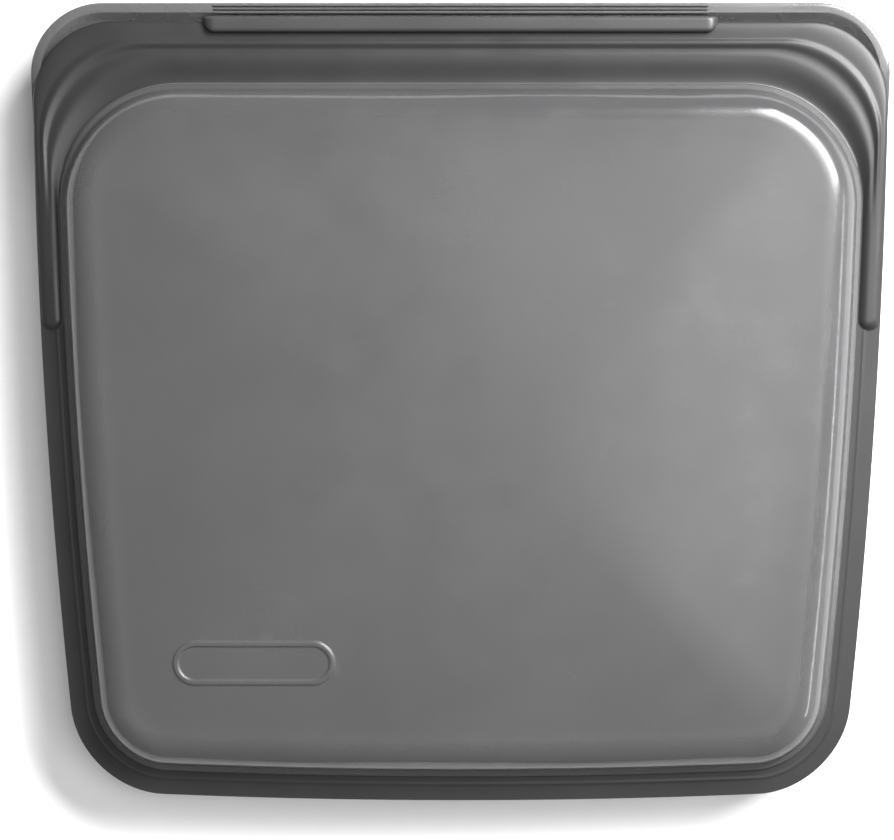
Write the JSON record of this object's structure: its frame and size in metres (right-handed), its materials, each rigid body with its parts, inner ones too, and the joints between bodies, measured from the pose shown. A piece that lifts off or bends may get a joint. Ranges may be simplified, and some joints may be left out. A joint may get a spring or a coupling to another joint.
{
  "type": "reusable silicone storage bag",
  "caption": "Flat translucent silicone pouch with a press-to-close mouth along its top and upper sides, a taller back lip and a gripped front lip.",
  "frame": {"origin": "middle of the bag's bounding box, on the surface that its back wall lies on", "axes": "+X across the width, +Y from the closed bottom to the mouth, +Z out of the front wall"},
  "size_m": [0.1902, 0.1768, 0.024],
  "materials": {
    "wall_silicone": "satin translucent",
    "flange_silicone": "satin translucent",
    "seal_silicone": "gloss translucent",
    "grip_silicone": "satin translucent"
  },
  "bodies": {
    "pouch": {"back_panel": "wall_silicone", "back_flange": "flange_silicone", "seal_rail_outer": "seal_silicone", "seal_rail_inner": "seal_silicone", "back_lip_left": "flange_silicone", "back_lip_right": "flange_silicone", "front_panel_lower": "wall_silicone", "front_flange_lower": "flange_silicone", "seal_end_left": "flange_silicone", "seal_end_right": "flange_silicone"},
    "front_closure": {"front_panel_upper": "wall_silicone", "front_closure_strip": "flange_silicone", "seal_bead": "seal_silicone"},
    "front_lip_flap": {"front_lip": "flange_silicone", "front_grip_pad": "grip_silicone"},
    "back_lip_flap": {"back_lip": "flange_silicone", "back_lip_rim": "flange_silicone", "back_grip_rib_1": "grip_silicone", "back_grip_rib_2": "grip_silicone", "back_grip_rib_3": "grip_silicone"}
  },
  "joints": [
    {"name": "mouth_open", "type": "hinge", "parent": "pouch", "child": "front_closure", "pos_m": [0, 0.016, 0.024], "axis": [1, 0, 0], "range_deg": [0, 35], "stiffness_Nm_per_rad": 0.05},
    {"name": "front_lip_fold", "type": "hinge", "parent": "front_closure", "child": "front_lip_flap", "pos_m": [0, 0.0809, 0.0143], "axis": [1, 0, 0], "range_deg": [0, 60], "stiffness_Nm_per_rad": 0.03},
    {"name": "back_lip_fold", "type": "hinge", "parent": "pouch", "child": "back_lip_flap", "pos_m": [0, 0.0809, 0.0096], "axis": [-1, 0, 0], "range_deg": [0, 60], "stiffness_Nm_per_rad": 0.03}
  ]
}
